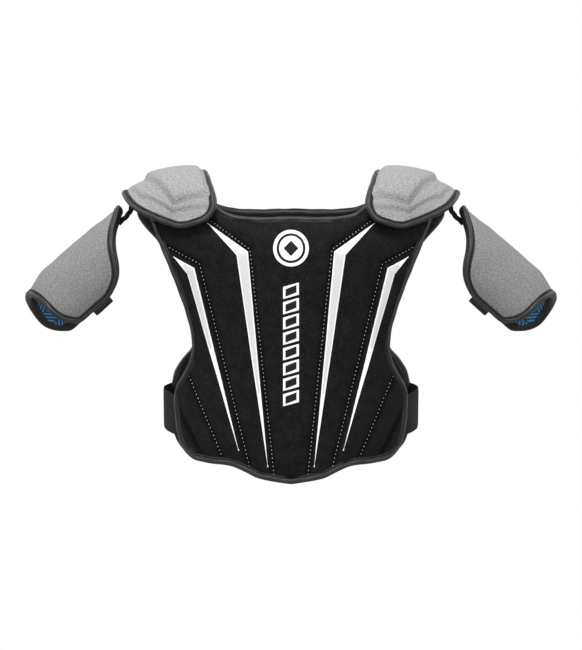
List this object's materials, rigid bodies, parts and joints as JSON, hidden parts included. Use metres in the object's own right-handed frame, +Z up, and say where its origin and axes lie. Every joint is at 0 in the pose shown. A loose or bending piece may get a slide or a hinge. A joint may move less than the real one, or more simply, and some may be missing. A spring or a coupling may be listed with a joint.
{
  "type": "shoulder pads",
  "caption": "Slip-over torso pads with quilted front and back panels, shoulder caps, strapped upper-arm guards and elastic side straps.",
  "frame": {"origin": "midway between the wearer's shoulders, at the height of the neck opening's corners", "axes": "+Z up, -Y the way the wearer faces, +X towards the wearer's left arm"},
  "size_m": [0.679, 0.2316, 0.3959],
  "materials": {
    "cover_black": "brushed black loop fabric",
    "foam_grey": "closed-cell foam",
    "liner_blue": "blue lines on dark knit lining",
    "binding_charcoal": "satin folded binding tape",
    "stripe_white": "welded white film",
    "heather_grey": "light grey heather knit over moulded foam",
    "plate_plastic": "black moulded sheet",
    "elastic_black": "ribbed black elastic webbing"
  },
  "bodies": {
    "arm_left": {"arm_binding_left": "binding_charcoal", "arm_liner_left": "liner_blue", "arm_plate_left": "plate_plastic", "arm_shell_left": "heather_grey"},
    "arm_right": {"arm_binding_right": "binding_charcoal", "arm_liner_right": "liner_blue", "arm_plate_right": "plate_plastic", "arm_shell_right": "heather_grey"},
    "arm_strap_left": {"arm_strap_left": "elastic_black"},
    "arm_strap_right": {"arm_strap_right": "elastic_black"},
    "arm_tab_left": {"arm_tab_left": "elastic_black"},
    "arm_tab_right": {"arm_tab_right": "elastic_black"},
    "back": {"back_cover": "cover_black", "back_edge_binding": "binding_charcoal", "back_foam_center": "foam_grey", "back_foam_middle_left": "foam_grey", "back_foam_middle_right": "foam_grey", "back_foam_side_left": "foam_grey", "back_foam_side_right": "foam_grey", "back_liner": "liner_blue", "back_neck_binding": "binding_charcoal", "bridge_binding_left": "binding_charcoal", "bridge_binding_right": "binding_charcoal", "bridge_cover_left": "cover_black", "bridge_cover_right": "cover_black", "bridge_foam_left": "foam_grey", "bridge_foam_right": "foam_grey", "bridge_liner_left": "liner_blue", "bridge_liner_right": "liner_blue", "loop_patch_left": "cover_black", "loop_patch_right": "cover_black", "shoulder_pad_left": "foam_grey", "shoulder_pad_right": "foam_grey"},
    "cap_left": {"cap_binding_left": "binding_charcoal", "cap_liner_left": "liner_blue", "cap_plate_left": "plate_plastic", "cap_shell_left": "heather_grey"},
    "cap_right": {"cap_binding_right": "binding_charcoal", "cap_liner_right": "liner_blue", "cap_plate_right": "plate_plastic", "cap_shell_right": "heather_grey"},
    "front": {"front_cover": "cover_black", "front_edge_binding": "binding_charcoal", "front_foam_center": "foam_grey", "front_foam_middle_left": "foam_grey", "front_foam_middle_right": "foam_grey", "front_foam_side_left": "foam_grey", "front_foam_side_right": "foam_grey", "front_liner": "liner_blue", "front_neck_binding": "binding_charcoal", "inner_stripe_left": "stripe_white", "inner_stripe_right": "stripe_white", "outer_stripe_left": "stripe_white", "outer_stripe_right": "stripe_white", "strap_anchor_left": "elastic_black", "strap_anchor_right": "elastic_black"},
    "side_strap_left": {"side_strap_left": "elastic_black"},
    "side_strap_right": {"side_strap_right": "elastic_black"}
  },
  "joints": [
    {"name": "front_fold", "type": "hinge", "parent": "back", "child": "front", "pos_m": [0, -0.026, -0.014], "axis": [1, 0, 0], "range_deg": [0, 7.5], "stiffness_Nm_per_rad": 2, "springref_deg": -9.74},
    {"name": "cap_lift_left", "type": "hinge", "parent": "back", "child": "cap_left", "pos_m": [0.1, 0, 0.028], "axis": [0, -1, 0], "range_deg": [0, 35]},
    {"name": "arm_raise_left", "type": "hinge", "parent": "cap_left", "child": "arm_tab_left", "pos_m": [0.202, 0, 0.004], "axis": [0, -1, 0], "range_deg": [-12, 30], "stiffness_Nm_per_rad": 0.8, "springref_deg": 7.45},
    {"name": "arm_swing_left", "type": "hinge", "parent": "arm_tab_left", "child": "arm_left", "pos_m": [0.2155, 0, -0.0204], "axis": [-0.6561, 0, -0.7547], "range_deg": [-15, 15]},
    {"name": "side_strap_open_left", "type": "hinge", "parent": "front", "child": "side_strap_left", "pos_m": [0.13664, -0.03376, -0.27037], "axis": [0, 0, -1], "range_deg": [0, 70]},
    {"name": "arm_strap_open_left", "type": "hinge", "parent": "arm_left", "child": "arm_strap_left", "pos_m": [0.2485, -0.0314, -0.1186], "axis": [-0.7547, 0, 0.6561], "range_deg": [0, 60]},
    {"name": "cap_lift_right", "type": "hinge", "parent": "back", "child": "cap_right", "pos_m": [-0.1, 0, 0.028], "axis": [0, 1, 0], "range_deg": [0, 35]},
    {"name": "arm_raise_right", "type": "hinge", "parent": "cap_right", "child": "arm_tab_right", "pos_m": [-0.202, 0, 0.004], "axis": [0, 1, 0], "range_deg": [-12, 30], "stiffness_Nm_per_rad": 0.8, "springref_deg": 7.45},
    {"name": "arm_swing_right", "type": "hinge", "parent": "arm_tab_right", "child": "arm_right", "pos_m": [-0.2155, 0, -0.0204], "axis": [0.6561, 0, -0.7547], "range_deg": [-15, 15]},
    {"name": "side_strap_open_right", "type": "hinge", "parent": "front", "child": "side_strap_right", "pos_m": [-0.13664, -0.03376, -0.27037], "axis": [0, 0, 1], "range_deg": [0, 70]},
    {"name": "arm_strap_open_right", "type": "hinge", "parent": "arm_right", "child": "arm_strap_right", "pos_m": [-0.2485, -0.0314, -0.1186], "axis": [-0.7547, 0, -0.6561], "range_deg": [0, 60]}
  ]
}
